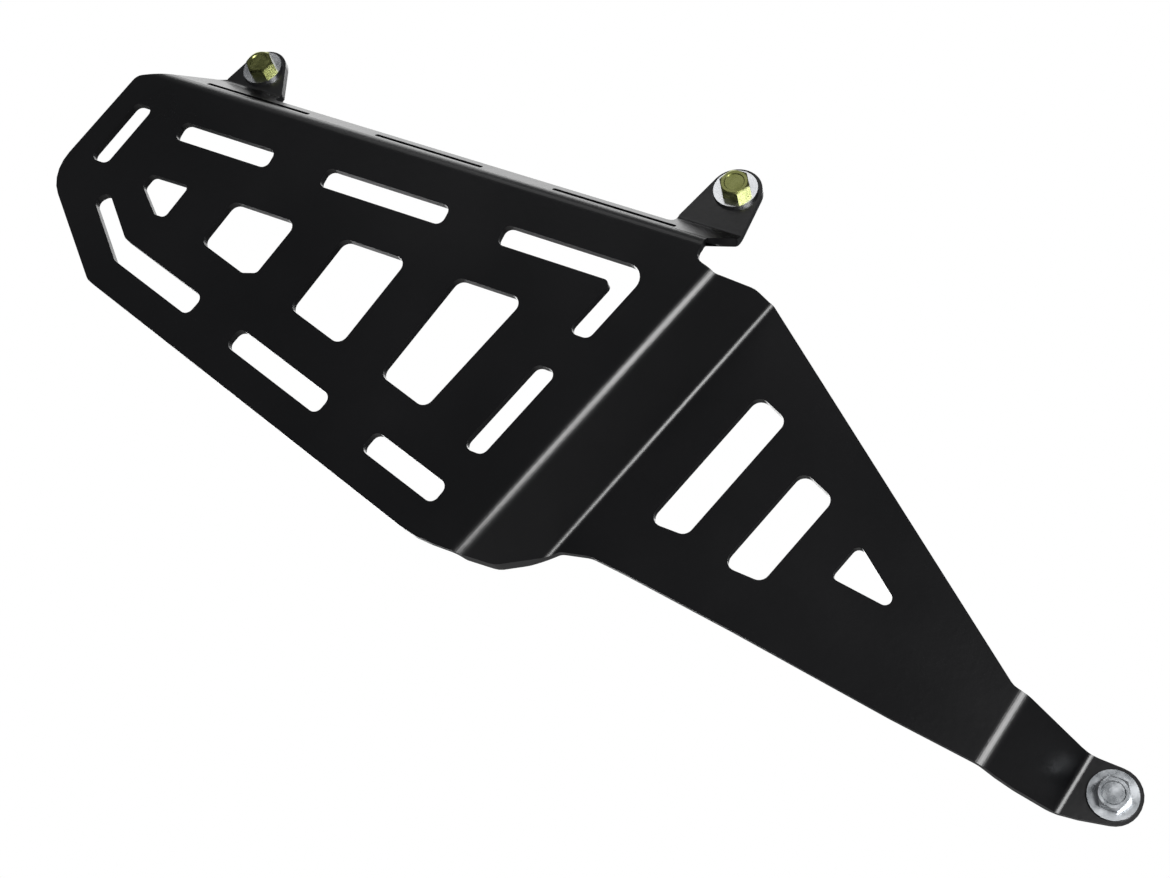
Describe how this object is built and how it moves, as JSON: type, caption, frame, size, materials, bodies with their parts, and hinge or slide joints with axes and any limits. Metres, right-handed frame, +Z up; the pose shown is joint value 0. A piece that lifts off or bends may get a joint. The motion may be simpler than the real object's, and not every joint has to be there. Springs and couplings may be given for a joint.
{
  "type": "motorcycle pannier side frame",
  "caption": "Flat side frame that holds a soft pannier off a motorcycle: one folded, slotted plate with ears and a lug for its bolts.",
  "frame": {"origin": "on the axis of the lower bolt, where the lug's inner face is clamped to the motorcycle", "axes": "+X forward, +Y inward to the motorcycle along the lower bolt, +Z up; the plate climbs to the rear as it does in the picture"},
  "size_m": [0.5431, 0.092, 0.3622],
  "materials": {
    "plate": "satin black powder coat on folded aluminium",
    "yellow_zinc": "steel with yellow-green zinc plating",
    "silver_zinc": "steel with clear zinc plating"
  },
  "bodies": {
    "root": {"side_plate": "plate", "upper_front_bolt": "yellow_zinc", "upper_front_washer": "silver_zinc", "upper_rear_bolt": "yellow_zinc", "upper_rear_washer": "silver_zinc", "lower_bolt": "silver_zinc", "lower_washer": "silver_zinc"}
  },
  "joints": []
}
